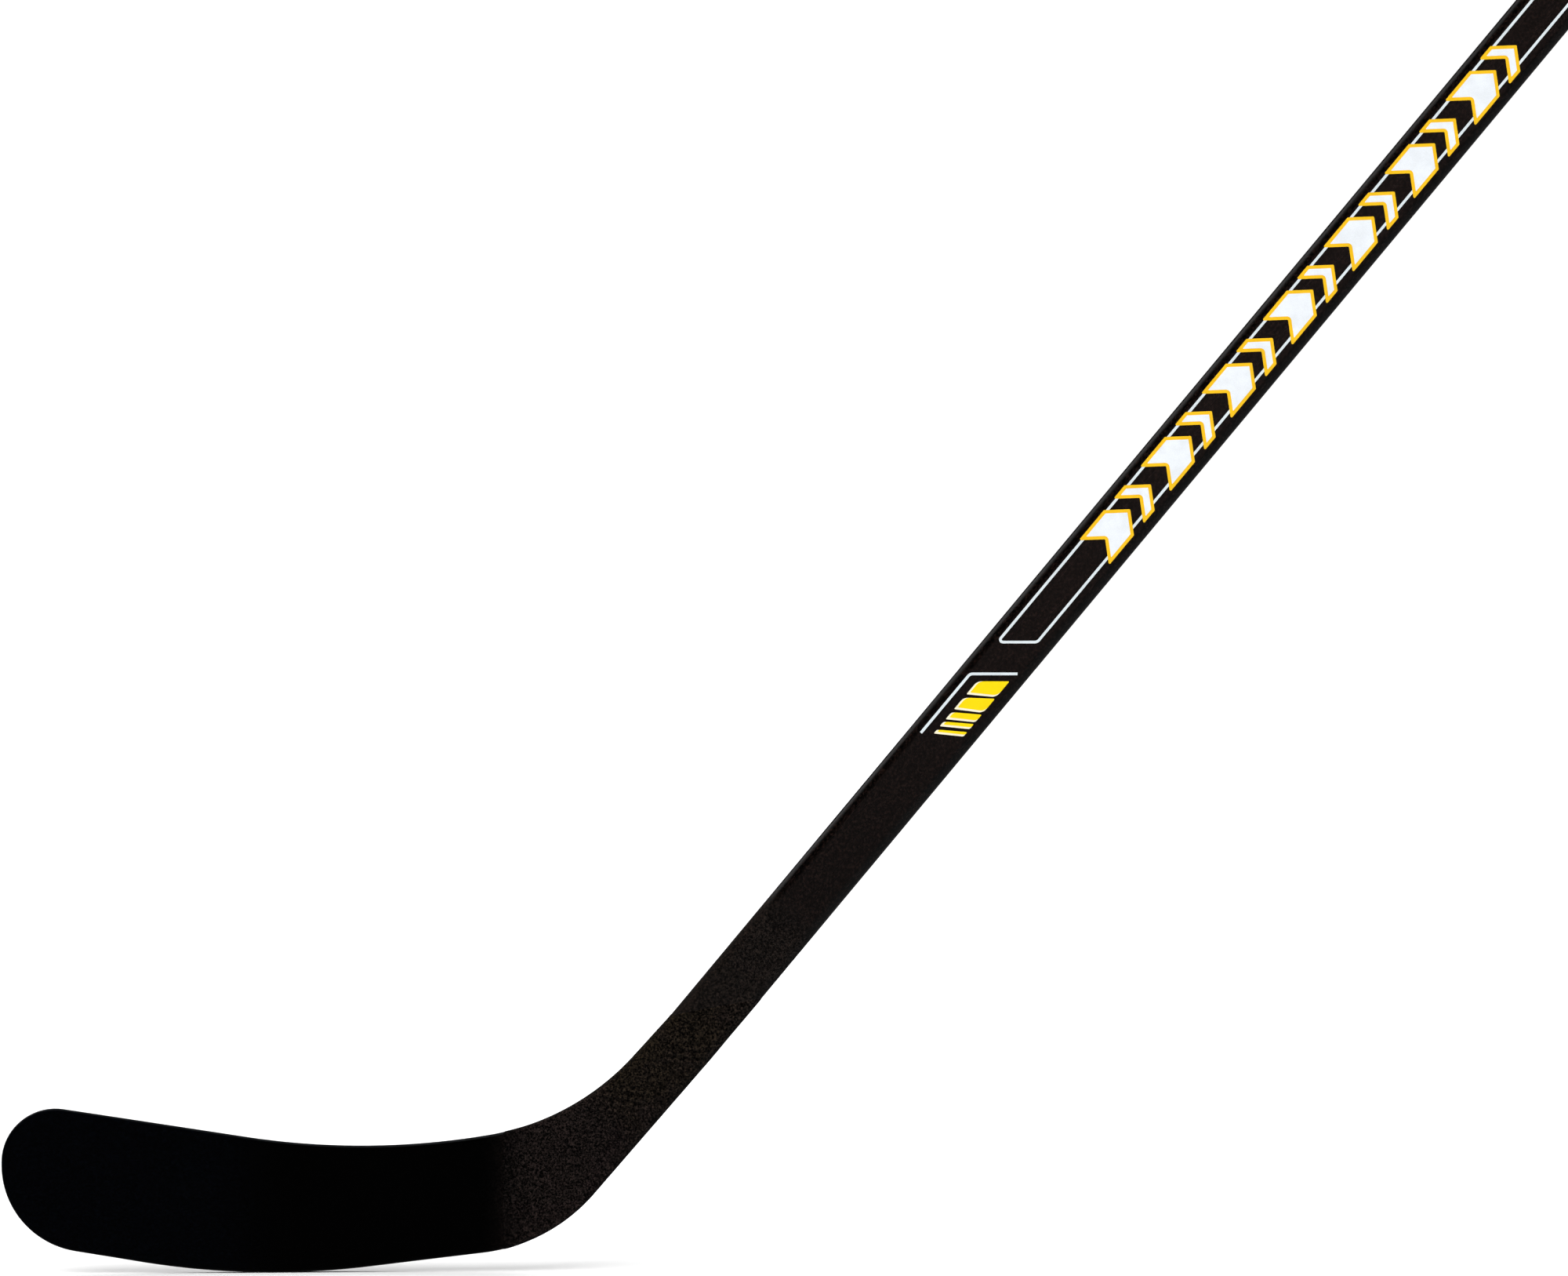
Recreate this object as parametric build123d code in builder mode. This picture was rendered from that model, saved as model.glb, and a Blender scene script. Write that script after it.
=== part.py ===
"""Ice hockey stick: a laminated wood shaft spliced to a curved, plastic-cored blade.

The stick stands as it is played. The origin is on the ice under the rocker of the blade, the toe
points along -X, the shaft climbs along +X at the lie angle, and +Z is up. The forehand face of
the blade, the hollow one, looks along -Y. All sizes are in millimetres. "Along the shaft" is
measured parallel to it from the square through the origin.
"""

import math
import os

from build123d import *

# Shaft: a rectangular bar with rounded corners.
SHAFT_WIDTH = 30.0
SHAFT_THICKNESS = 20.0
SHAFT_CORNER = 5.0
LIE_ANGLE = 50.2  # shaft above the ice, in degrees
HEEL_X = 139.3  # where the shaft's outer edge, carried straight on, meets the ice
STICK_LENGTH = 1473.0  # heel to butt along that edge, 58 inches
BUTT_CHAMFER = 0.5

# What the shaft is made of: plies of wood, front to back, in a sleeve of glass cloth.
WRAP_WALL = 0.7
PLIES = [
    "front_birch_ply",
    "front_aspen_ply",
    "front_core_ply",
    "centre_core_ply",
    "back_core_ply",
    "back_aspen_ply",
    "back_birch_ply",
]

# Blade outline in the XZ plane: straight tangents joined by arcs, each a corner and its radius.
TOE_X = -131.3
BLADE_CORNERS = [
    (159.3, 76.6, 129.0),  # throat, from the shaft to the top edge
    (52.4, 59.6, 385.0),  # dip of the top edge
    (TOE_X, 88.8, 26.7),  # upper toe
    (TOE_X, 18.0, 45.2),  # lower toe
    (-2.7, -4.096, 403.0),  # rocker of the sole, whose arc just touches the ice
    (147.7, 13.8, 89.0),  # heel
]

# Blade thickness and curve, seen from above.
BLADE_HEEL_THICKNESS = 9.0
BLADE_TOE_THICKNESS = 5.0
BLADE_EDGE_ROUND = 2.2
FACING = 0.6  # glass laminate on each face of the core
CURVE_AT_SOLE = 17.0  # how far the toe is bent towards the forehand, low down
CURVE_AT_TOP = 12.0  # and high up: less, which opens the face
SOLE_PLAN_Z = -10.0
TOP_PLAN_Z = 100.0
PLAN_STATIONS = 7
PAST_TOE = 5.0  # how far the curved faces run on before they are cut to the outline

# Heel splice, under a wrap: the blade ends at WRAP_X, and the plain bar of the shaft begins at
# BAR_START along it. Sections like the rungs of a fan join the two.
WRAP_X = 124.0
BAR_START = 232.0
RUNGS = 17
WRAP_TOP = (244.0, 138.0)  # a point on the slanting upper edge of the heel wrap, in XZ
WRAP_TOP_SLOPE = 10.6  # of that edge, in degrees

# Under the wrap, a block forms the heel and throat. The tongue of the blade core runs through
# it and up a slot in the plies.
SHOULDER = 150.0  # along the shaft: the core's shoulder, where the block starts
BLOCK_TOP = 205.0  # along the shaft: where the plies start
TONGUE_TIP = 255.0  # along the shaft
TONGUE_ROOT_WIDTH = 24.0
TONGUE_TIP_WIDTH = 12.0
TONGUE_THICKNESS = 5.0
TONGUE_TIP_ROUND = 4.0
CLEAR = 400.0  # large enough to reach right across the blade and heel

LIE = math.radians(LIE_ANGLE)
ALONG = Vector(math.cos(LIE), 0, math.sin(LIE))  # up the shaft
INWARD = Vector(-math.sin(LIE), 0, math.cos(LIE))  # across its width, towards the throat
AXIS_FOOT = Vector(HEEL_X, 0, 0) + INWARD * (SHAFT_WIDTH / 2)
BUTT = Vector(HEEL_X, 0, 0).dot(ALONG) + STICK_LENGTH
PLY = (SHAFT_THICKNESS - 2 * WRAP_WALL) / len(PLIES)


def shaft_plane(s, across=0):
    """Square to the shaft at s along it: local X is its thickness, local Y its width."""
    origin = AXIS_FOOT + ALONG * (s - AXIS_FOOT.dot(ALONG)) + INWARD * across
    return Plane(origin=origin, x_dir=(0, 1, 0), z_dir=ALONG)


def smooth(u):
    """From 0 to 1, level at both ends."""
    return u * u * (3 - 2 * u)


# ---------------------------------------------------------------- outline of blade and heel
throat_end = shaft_plane(BAR_START, SHAFT_WIDTH / 2).origin
heel_end = shaft_plane(BAR_START, -SHAFT_WIDTH / 2).origin

with BuildSketch(Plane.XZ) as outline:
    with BuildLine():
        corners = [(x, z) for x, z, _ in BLADE_CORNERS]
        radii = [radius for _, _, radius in BLADE_CORNERS]
        FilletPolyline(
            (throat_end.X, throat_end.Z),
            *corners,
            (heel_end.X, heel_end.Z),
            radius=[0, *radii, 0],
            close=True,
        )
    make_face()


# ---------------------------------------------------------------- shaft and heel envelope
# The rungs fan out from a pivot above the throat. The first is the upright end of the blade, and
# the last is square to the shaft.
last_rung = shaft_plane(BAR_START).origin
PIVOT = last_rung + INWARD * ((last_rung.X - WRAP_X) / math.sin(LIE))


def rung(u):
    """The plane of a rung, centred on the outline, with the rung's length across it."""
    angle = -math.pi / 2 + u * LIE
    outward = Vector(math.cos(angle), 0, math.sin(angle))
    ray = Edge.make_line(PIVOT, PIVOT + outward * CLEAR)
    chord = outline.sketch.face().intersect(ray).edge()
    forward = Vector(-outward.Z, 0, outward.X)
    return Plane(origin=chord @ 0.5, x_dir=(0, 1, 0), z_dir=forward), chord.length


def envelope(inset):
    """Heel and shaft as one solid, smaller by inset on every side but the ends."""
    with BuildPart() as body:
        for i in range(RUNGS):
            u = i / (RUNGS - 1)
            plane, width = rung(u)
            blend = smooth(u)
            thickness = BLADE_HEEL_THICKNESS + (SHAFT_THICKNESS - BLADE_HEEL_THICKNESS) * blend
            corner = BLADE_EDGE_ROUND + (SHAFT_CORNER - BLADE_EDGE_ROUND) * blend
            with BuildSketch(plane):
                RectangleRounded(thickness - 2 * inset, width - 2 * inset, corner - inset)
        loft()
        with BuildSketch(shaft_plane(BAR_START)):
            RectangleRounded(
                SHAFT_THICKNESS - 2 * inset, SHAFT_WIDTH - 2 * inset, SHAFT_CORNER - inset
            )
        extrude(amount=BUTT - BAR_START)
    return body.part


# ---------------------------------------------------------------- blade envelope
def half_thickness(x):
    """Half the blade's thickness at x, which tapers evenly from heel to toe."""
    taper = (WRAP_X - x) / (WRAP_X - TOE_X)
    return (BLADE_HEEL_THICKNESS + (BLADE_TOE_THICKNESS - BLADE_HEEL_THICKNESS) * taper) / 2


def bend(x, depth):
    """How far the middle of the blade is bent, along Y, at x."""
    return -depth * ((WRAP_X - x) / (WRAP_X - TOE_X)) ** 2


def slab(skin):
    """The blade's two curved faces as one tall slab, thinner by skin on each face."""
    step = (WRAP_X - TOE_X + PAST_TOE) / (PLAN_STATIONS - 1)
    stations = [WRAP_X - step * i for i in range(PLAN_STATIONS)]
    with BuildPart() as body:
        for z, depth in ((SOLE_PLAN_Z, CURVE_AT_SOLE), (TOP_PLAN_Z, CURVE_AT_TOP)):
            with BuildSketch(Plane.XY.offset(z)):
                with BuildLine():
                    front = Spline(*[(x, bend(x, depth) - half_thickness(x) + skin) for x in stations])
                    back = Spline(*[(x, bend(x, depth) + half_thickness(x) - skin) for x in stations])
                    Line(front @ 0, back @ 0)
                    Line(front @ 1, back @ 1)
                make_face()
        loft(ruled=True)
    return body.part


full_slab = slab(0)
core_slab = slab(FACING)

with BuildPart() as blade:
    with BuildSketch(Plane.XZ):
        add(outline.sketch)
        split(bisect_by=Plane.YZ.offset(WRAP_X), keep=Keep.BOTTOM)
    extrude(amount=CLEAR, both=True)
    add(full_slab, mode=Mode.INTERSECT)
    heel_face = blade.faces().sort_by(Axis.X)[-1]
    rims = blade.edges() - heel_face.edges()
    fillet(rims.filter_by(GeomType.LINE, reverse=True), BLADE_EDGE_ROUND)


# ---------------------------------------------------------------- cuts through the splice
outer = envelope(0)
inner = envelope(WRAP_WALL)
shoulder = shaft_plane(SHOULDER)
wrap_edge = Plane(
    origin=(WRAP_TOP[0], 0, WRAP_TOP[1]), x_dir=(0, 1, 0), z_dir=(0, 0, 1)
).rotated((0, -WRAP_TOP_SLOPE, 0))

with BuildPart() as tongue:
    with BuildSketch(Plane(origin=shoulder.origin, x_dir=INWARD, z_dir=(0, 1, 0))):
        with BuildLine():
            FilletPolyline(
                (-TONGUE_ROOT_WIDTH / 2, 0),
                (-TONGUE_TIP_WIDTH / 2, TONGUE_TIP - SHOULDER),
                (TONGUE_TIP_WIDTH / 2, TONGUE_TIP - SHOULDER),
                (TONGUE_ROOT_WIDTH / 2, 0),
                radius=[0, TONGUE_TIP_ROUND, TONGUE_TIP_ROUND, 0],
                close=True,
            )
        make_face()
    extrude(amount=TONGUE_THICKNESS / 2, both=True)

# ---------------------------------------------------------------- sleeves of glass cloth
with BuildPart() as shaft_wrap:
    add(outer)
    add(inner, mode=Mode.SUBTRACT)
    split(bisect_by=wrap_edge, keep=Keep.TOP)
    butt_face = shaft_wrap.faces().sort_by(Axis((0, 0, 0), ALONG))[-1]
    chamfer(butt_face.outer_wire().edges(), BUTT_CHAMFER)

with BuildPart() as heel_wrap:
    add(outer)
    add(inner, mode=Mode.SUBTRACT)
    split(bisect_by=wrap_edge, keep=Keep.BOTTOM)

# ---------------------------------------------------------------- blade core and its facings
with BuildPart() as plate:
    add(blade.part)
    add(core_slab, mode=Mode.INTERSECT)

with BuildPart() as blade_core:
    add(inner)
    split(bisect_by=shoulder, keep=Keep.BOTTOM)
    add(plate.part)
    add(tongue.part)

with BuildPart() as skins:
    add(blade.part)
    add(core_slab, mode=Mode.SUBTRACT)

# ---------------------------------------------------------------- wood inside the sleeves
with BuildPart() as heel_block:
    add(inner)
    split(bisect_by=shoulder, keep=Keep.TOP)
    split(bisect_by=shaft_plane(BLOCK_TOP), keep=Keep.BOTTOM)
    add(tongue.part, mode=Mode.SUBTRACT)

with BuildPart() as wood:
    add(inner)
    split(bisect_by=shaft_plane(BLOCK_TOP), keep=Keep.TOP)
    add(tongue.part, mode=Mode.SUBTRACT)

# ---------------------------------------------------------------- one file for each piece
os.makedirs("parts", exist_ok=True)

shaft_wrap.part.label = "shaft_wrap"
export_step(shaft_wrap.part, "parts/shaft_wrap.step")
heel_wrap.part.label = "heel_wrap"
export_step(heel_wrap.part, "parts/heel_wrap.step")
heel_block.part.label = "heel_block"
export_step(heel_block.part, "parts/heel_block.step")
blade_core.part.label = "blade_core"
export_step(blade_core.part, "parts/blade_core.step")

for name, skin in zip(("blade_facing_front", "blade_facing_back"), skins.solids().sort_by(Axis.Y)):
    with BuildPart() as facing:
        add(skin)
    facing.part.label = name
    export_step(facing.part, f"parts/{name}.step")

for i, name in enumerate(PLIES):
    front = (i - len(PLIES) / 2) * PLY
    with BuildPart() as ply:
        add(wood.part)
        split(bisect_by=Plane.XZ.offset(-front), keep=Keep.BOTTOM)
        split(bisect_by=Plane.XZ.offset(-front - PLY), keep=Keep.TOP)
    ply.part.label = name
    export_step(ply.part, f"parts/{name}.step")
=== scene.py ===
"""Ice hockey stick: smooth skins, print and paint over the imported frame, on a pale studio floor.

Lengths are in metres. Angles are in radians, but degrees are used round a section's corners and the
blade's rim. The shaft lies in the XZ plane, the toe towards -X and the butt towards +X, and the
forehand face looks along -Y. "Along the shaft" is measured parallel to it from the square through
the origin, and "across" towards the throat from its middle.
"""

import math

import bpy
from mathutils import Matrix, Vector, noise


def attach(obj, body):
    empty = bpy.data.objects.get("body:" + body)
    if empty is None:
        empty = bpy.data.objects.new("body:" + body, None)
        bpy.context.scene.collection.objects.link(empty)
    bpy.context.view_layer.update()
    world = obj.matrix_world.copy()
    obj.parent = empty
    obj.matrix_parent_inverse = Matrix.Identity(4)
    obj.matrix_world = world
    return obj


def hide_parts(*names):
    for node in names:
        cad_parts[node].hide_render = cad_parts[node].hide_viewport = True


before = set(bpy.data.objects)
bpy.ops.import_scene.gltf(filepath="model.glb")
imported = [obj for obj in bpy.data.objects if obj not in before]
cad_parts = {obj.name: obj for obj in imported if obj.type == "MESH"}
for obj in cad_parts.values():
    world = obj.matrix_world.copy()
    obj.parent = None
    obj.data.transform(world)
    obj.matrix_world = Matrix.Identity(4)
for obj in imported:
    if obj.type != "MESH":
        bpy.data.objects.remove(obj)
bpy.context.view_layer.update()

# ------------------------------------------------------------------ driving sizes, as in the CAD
SHAFT_WIDTH = 0.030
SHAFT_THICKNESS = 0.020
SHAFT_CORNER = 0.005
LIE = math.radians(50.2)
HEEL_X = 0.1393  # where the shaft's outer edge, carried straight on, meets the floor
STICK_LENGTH = 1.473  # from heel to butt, along the shaft's outer edge
BUTT_CHAMFER = 0.0005
WRAP_WALL = 0.0007
TOE_X = -0.1313
BLADE_CORNERS = [  # x, z and radius
    (0.1593, 0.0766, 0.129),  # throat
    (0.0524, 0.0596, 0.385),  # dip of the top edge
    (TOE_X, 0.0888, 0.0267),  # upper toe
    (TOE_X, 0.0180, 0.0452),  # lower toe
    (-0.0027, -0.004096, 0.403),  # rocker of the sole
    (0.1477, 0.0138, 0.089),  # heel
]
WRAP_X = 0.124  # where the blade ends and the heel's wrap begins
BLADE_HEEL_THICKNESS = 0.009
BLADE_TOE_THICKNESS = 0.005
BLADE_EDGE_ROUND = 0.0022
FACING = 0.0006  # glass laminate on each face of the core
CURVE_AT_SOLE = 0.017  # how far the toe is bent towards the forehand, low down
CURVE_AT_TOP = 0.012  # and high up
SOLE_PLAN_Z = -0.010
TOP_PLAN_Z = 0.100
BAR_START = 0.232  # along the shaft: where its plain bar begins
WRAP_TOP = (0.244, 0.138)  # x and z of a point on the slanting upper edge of the heel's wrap
WRAP_TOP_SLOPE = math.radians(10.6)

ALONG = Vector((math.cos(LIE), 0, math.sin(LIE)))
INWARD = Vector((-math.sin(LIE), 0, math.cos(LIE)))
AXIS_FOOT = Vector((HEEL_X, 0, 0)) + INWARD * (SHAFT_WIDTH / 2)
BUTT = HEEL_X * ALONG.x + STICK_LENGTH  # along the shaft


def shaft_point(s, across=0.0, y=0.0):
    """A point s along the shaft, across its width towards the throat, and y through it."""
    point = AXIS_FOOT + ALONG * (s - AXIS_FOOT.dot(ALONG)) + INWARD * across
    return Vector((point.x, y, point.z))


def smooth(u):
    """From 0 to 1, level at both ends and beyond them."""
    u = min(max(u, 0.0), 1.0)
    return u * u * (3 - 2 * u)


# ------------------------------------------------------------------ the outline, as a path
LEAST_RADIUS = 0.0002
ARC_STEP = math.radians(12)
HALVINGS = 40


class Path:
    """Straight runs and tangent arcs round (a, b, radius) corners, moved to its left by inset.

    Each of its pieces is (start, heading, bend, length), and a straight one has no bend.
    """

    def __init__(self, corners, inset=0.0):
        points = [Vector(c[:2]) for c in corners]
        runs = [(b - a).normalized() for a, b in zip(points, points[1:])]
        lefts = [Vector((-d.y, d.x)) for d in runs]
        self.pieces = []
        start = points[0] + lefts[0] * inset
        for i in range(1, len(points) - 1):
            before, after = runs[i - 1], runs[i]
            turn = math.atan2(before.x * after.y - before.y * after.x, before.dot(after))
            side = math.copysign(1, turn)
            radius = max(corners[i][2] - side * inset, LEAST_RADIUS)
            shift = (lefts[i - 1] + lefts[i]) * (inset / (1 + lefts[i - 1].dot(lefts[i])))
            reach = radius * math.tan(abs(turn) / 2)
            arc_start = points[i] + shift - before * reach
            heading = math.atan2(before.y, before.x)
            self.pieces.append((start, heading, 0.0, (arc_start - start).length))
            self.pieces.append((arc_start, heading, side / radius, radius * abs(turn)))
            start = points[i] + shift + after * reach
        end = points[-1] + lefts[-1] * inset
        self.pieces.append((start, math.atan2(runs[-1].y, runs[-1].x), 0.0, (end - start).length))
        self.length = sum(piece[3] for piece in self.pieces)

    def start_of(self, piece):
        """The distance along the path at which a piece starts, by its number."""
        return sum(p[3] for p in self.pieces[:piece])

    def on_piece(self, piece, s):
        """The point at distance s from the start of a piece."""
        start, heading, bend, _ = piece
        if bend == 0:
            return start + Vector((math.cos(heading), math.sin(heading))) * s
        turned = heading + bend * s
        return start + Vector((math.sin(turned) - math.sin(heading),
                               math.cos(heading) - math.cos(turned))) / bend

    def at(self, s):
        """The point at distance s along the path."""
        for piece in self.pieces:
            if s <= piece[3]:
                break
            s -= piece[3]
        return self.on_piece(piece, s)

    def drawn(self):
        """The path as few points: the ends of its runs, and enough on each arc to look round."""
        points = []
        for piece in self.pieces:
            steps = math.ceil(abs(piece[2]) * piece[3] / ARC_STEP) or 1
            points += [self.on_piece(piece, piece[3] * k / steps) for k in range(steps)]
        return points + [self.on_piece(self.pieces[-1], self.pieces[-1][3])]

    def where(self, test, low, high):
        """The distance between low and high at which test(point) changes sign."""
        rising = test(self.at(high)) > 0
        for _ in range(HALVINGS):
            middle = (low + high) / 2
            if (test(self.at(middle)) > 0) == rising:
                high = middle
            else:
                low = middle
        return (low + high) / 2


def outline(inset=0.0):
    """Round the heel and blade: down from the shaft's throat side and back up to its outer side."""
    ends = [shaft_point(BAR_START, half) for half in (SHAFT_WIDTH / 2, -SHAFT_WIDTH / 2)]
    return Path([(ends[0].x, ends[0].z, 0), *BLADE_CORNERS, (ends[1].x, ends[1].z, 0)], inset)


THROAT, DIP, UPPER_TOE, LOWER_TOE, ROCKER, HEEL = range(1, 13, 2)  # the arcs among its pieces


# ------------------------------------------------------------------ meshes
SHARP_ANGLE = math.radians(35)


def new_object(name, points, faces):
    """A closed mesh, its normals outwards, that rides the stick's only body."""
    mesh = bpy.data.meshes.new(name)
    mesh.from_pydata([tuple(p) for p in points], [], faces)
    mesh.validate()
    bpy.ops.object.select_all(action="DESELECT")
    obj = bpy.data.objects.new(name, mesh)
    bpy.context.scene.collection.objects.link(obj)
    bpy.context.view_layer.objects.active = obj
    bpy.ops.object.mode_set(mode="EDIT")
    bpy.ops.mesh.select_all(action="SELECT")
    bpy.ops.mesh.normals_make_consistent(inside=False)
    bpy.ops.object.mode_set(mode="OBJECT")
    mesh.shade_smooth()
    mesh.set_sharp_from_angle(angle=SHARP_ANGLE)
    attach(obj, "root")
    return obj


def tube_faces(rings, first=0):
    """Quads between neighbouring closed rings, each a run of the same number of vertices."""
    count = len(rings[0])
    faces = []
    for r in range(len(rings) - 1):
        a, b = first + r * count, first + (r + 1) * count
        faces += [(a + k, a + (k + 1) % count, b + (k + 1) % count, b + k) for k in range(count)]
    return faces


def shell(name, outer, inner):
    """A closed sleeve between outer rings and inner rings."""
    count = len(outer[0])
    points = [p for ring in outer for p in ring] + [p for ring in inner for p in ring]
    second = len(outer) * count
    faces = tube_faces(outer) + tube_faces(inner, second)
    for a, b in ((0, second), ((len(outer) - 1) * count, second + (len(inner) - 1) * count)):
        faces += [(a + k, a + (k + 1) % count, b + (k + 1) % count, b + k) for k in range(count)]
    return new_object(name, points, faces)


# ------------------------------------------------------------------ sections of shaft and heel
WIDE_STEPS = 28
NARROW_STEPS = 6
CORNER_STEPS = 8


def section(half_thickness, half_width, corner):
    """A rounded rectangle as (place, normal) pairs, each a vector (y, across), in a fixed order."""
    ring = []
    flat_y, flat_c = half_thickness - corner, half_width - corner
    quarters = ((1, 1, 0), (-1, 1, 90), (-1, -1, 180), (1, -1, 270))
    for n, (sy, sc, first) in enumerate(quarters):
        centre = Vector((sy * flat_y, sc * flat_c))
        for k in range(CORNER_STEPS + 1):
            angle = math.radians(first + 90 * k / CORNER_STEPS)
            normal = Vector((math.cos(angle), math.sin(angle)))
            ring.append((centre + normal * corner, normal))
        following = quarters[(n + 1) % 4]
        goal = Vector((following[0] * flat_y, following[1] * flat_c)) + normal * corner
        steps = NARROW_STEPS if n % 2 == 0 else WIDE_STEPS
        begin = ring[-1][0]
        for k in range(1, steps):
            ring.append((begin.lerp(goal, k / steps), normal))
    return ring


BASE = outline()
last_rung = shaft_point(BAR_START)
PIVOT = last_rung + INWARD * ((last_rung.x - WRAP_X) / math.sin(LIE))


def rung(u):
    """A section of the heel, u from 0 at the blade to 1 at the bar.

    It is given as (centre, inward direction, width, thickness, corner).
    """
    angle = -math.pi / 2 + u * LIE
    outward = Vector((math.cos(angle), 0, math.sin(angle)))
    across = Vector((-outward.z, outward.x))

    def side(point):
        return (point.x - PIVOT.x) * across.x + (point.y - PIVOT.z) * across.y

    near_end = BASE.start_of(DIP)
    far_start = BASE.start_of(ROCKER + 1)
    near = BASE.at(BASE.where(side, 0.0, near_end))
    far = BASE.at(BASE.where(side, far_start, BASE.length))
    near, far = Vector((near.x, 0, near.y)), Vector((far.x, 0, far.y))
    blend = smooth(u)
    thickness = BLADE_HEEL_THICKNESS + (SHAFT_THICKNESS - BLADE_HEEL_THICKNESS) * blend
    corner = BLADE_EDGE_ROUND + (SHAFT_CORNER - BLADE_EDGE_ROUND) * blend
    return (near + far) / 2, -outward, (near - far).length, thickness, corner


def heel_ring(u, inset=0.0, swell=None):
    """A ring round the heel at rung u, moved out by swell(point, direction)."""
    centre, inward, width, thickness, corner = rung(u)
    ring = []
    for place, normal in section(thickness / 2 - inset, width / 2 - inset, corner - inset):
        point = centre + inward * place.y + Vector((0, place.x, 0))
        direction = inward * normal.y + Vector((0, normal.x, 0))
        ring.append(point + direction * (swell(point, direction) if swell else 0.0))
    return ring


def shaft_ring(station, inset=0.0, swell=None):
    """A ring round the bar, where station(across) says how far along the shaft each point is."""
    ring = []
    for place, normal in section(SHAFT_THICKNESS / 2 - inset, SHAFT_WIDTH / 2 - inset,
                                 SHAFT_CORNER - inset):
        point = shaft_point(station(place.y), place.y, place.x)
        direction = INWARD * normal.y + Vector((0, normal.x, 0))
        ring.append(point + direction * (swell(point, direction) if swell else 0.0))
    return ring


def wrap_edge(across):
    """How far along the shaft the heel wrap's slanting upper edge is."""
    corner = Vector((WRAP_TOP[0], 0, WRAP_TOP[1])) - AXIS_FOOT
    foot = AXIS_FOOT.dot(ALONG)
    return foot + corner.dot(ALONG) - (across - corner.dot(INWARD)) / math.tan(LIE - WRAP_TOP_SLOPE)


HEEL_STATIONS = 120
EDGE_STATIONS = 28
SHAFT_STATIONS = 64
INNER_STRIDE = 8  # the unseen inside has one ring for so many outside
LIP = 0.00016  # how far the cloth's ends stand proud of what they lie on
LIP_AT_BLADE = (0.0010, 0.002, 0.012)  # how far it takes to rise, where it falls, and how far that takes
LIP_AT_EDGE = (0.0006, 0.003, 0.015)
UNEVEN = 0.00004
UNEVEN_SCALE = 90
RIPPLES = [  # centre x and z of each patch of folds in the cloth, its half length and half height
    (0.217, 0.1105, 0.011, 0.0075),
    (0.186, 0.0885, 0.013, 0.0070),
    (0.243, 0.1290, 0.010, 0.0030),
]
RIPPLE_PITCH = 0.0037
RIPPLE_HEIGHT = 0.00014
RIPPLE_FALL = 0.12  # how much a fold falls for each metre towards the butt
RIPPLE_WANDER = 0.0006
RIPPLE_WANDER_SCALE = 160
RIPPLE_BREAK = (0.8, 0.6)  # its usual strength, and how much that varies
RIPPLE_BREAK_SCALE = 230
FOLD_LEAST_Y = 0.003  # how far off the stick's middle the folds' shading starts


def along_and_across(point):
    """The reverse of shaft_point, without the depth."""
    offset = point - AXIS_FOOT
    return AXIS_FOOT.dot(ALONG) + offset.dot(ALONG), offset.dot(INWARD)


def ripple(point):
    """Below 0 in the bottom of a fold, above 0 on its crest, and 0 where the cloth is smooth."""
    total = 0.0
    for x, z, length, height in RIPPLES:
        near = math.exp(-((point.x - x) / length) ** 4 - ((point.z - z) / height) ** 4)
        wander = RIPPLE_WANDER * noise.noise(point * RIPPLE_WANDER_SCALE)
        slant = point.z + RIPPLE_FALL * (point.x - x) + wander
        broken = RIPPLE_BREAK[0] + RIPPLE_BREAK[1] * noise.noise(point * RIPPLE_BREAK_SCALE)
        total += near * broken * math.sin(2 * math.pi * slant / RIPPLE_PITCH)
    return total


def lip(distance, rise, fall_from, fall):
    """How far the cloth stands out at a distance from one of its ends."""
    return LIP * smooth(distance / rise) * (1 - smooth((distance - fall_from) / fall))


def wrap_swell(point, direction):
    """How far the heel's cloth stands out at a point: raised ends, folds and slight unevenness."""
    s, across = along_and_across(point)
    from_blade = point.x - WRAP_X
    from_edge = (wrap_edge(across) - s) * math.sin(LIE - WRAP_TOP_SLOPE)
    swell = lip(from_blade, *LIP_AT_BLADE) + lip(from_edge, *LIP_AT_EDGE)
    face = abs(direction.y) ** 2
    swell += face * RIPPLE_HEIGHT * ripple(point)
    return swell + face * UNEVEN * noise.noise(point * UNEVEN_SCALE)


def heel_cloth():
    """The heel's wrap, from the blade up the rungs and on to its slanting edge on the bar."""
    outer = [heel_ring(i / HEEL_STATIONS, swell=wrap_swell) for i in range(HEEL_STATIONS)]
    inner = [heel_ring(i / HEEL_STATIONS, WRAP_WALL) for i in range(0, HEEL_STATIONS, INNER_STRIDE)]
    for i in range(EDGE_STATIONS + 1):
        reach = i / EDGE_STATIONS

        def station(across):
            return BAR_START + (wrap_edge(across) - BAR_START) * reach

        outer.append(shaft_ring(station, swell=wrap_swell))
        if i % INNER_STRIDE == 0 or i == EDGE_STATIONS:
            inner.append(shaft_ring(station, WRAP_WALL))
    return shell("heel_cloth", outer, inner)


def shaft_sleeve():
    """The shaft's wrap, from the heel wrap's slanting edge to the chamfered butt."""
    outer, inner = [], []
    for i in range(SHAFT_STATIONS + 1):
        reach = i / SHAFT_STATIONS

        def station(across):
            return wrap_edge(across) * (1 - reach) + (BUTT - BUTT_CHAMFER) * reach

        outer.append(shaft_ring(station))
        inner.append(shaft_ring(station, WRAP_WALL))
    outer.append(shaft_ring(lambda across: BUTT, BUTT_CHAMFER))
    inner.append(shaft_ring(lambda across: BUTT, WRAP_WALL))
    return shell("shaft_sleeve", outer, inner)


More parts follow.
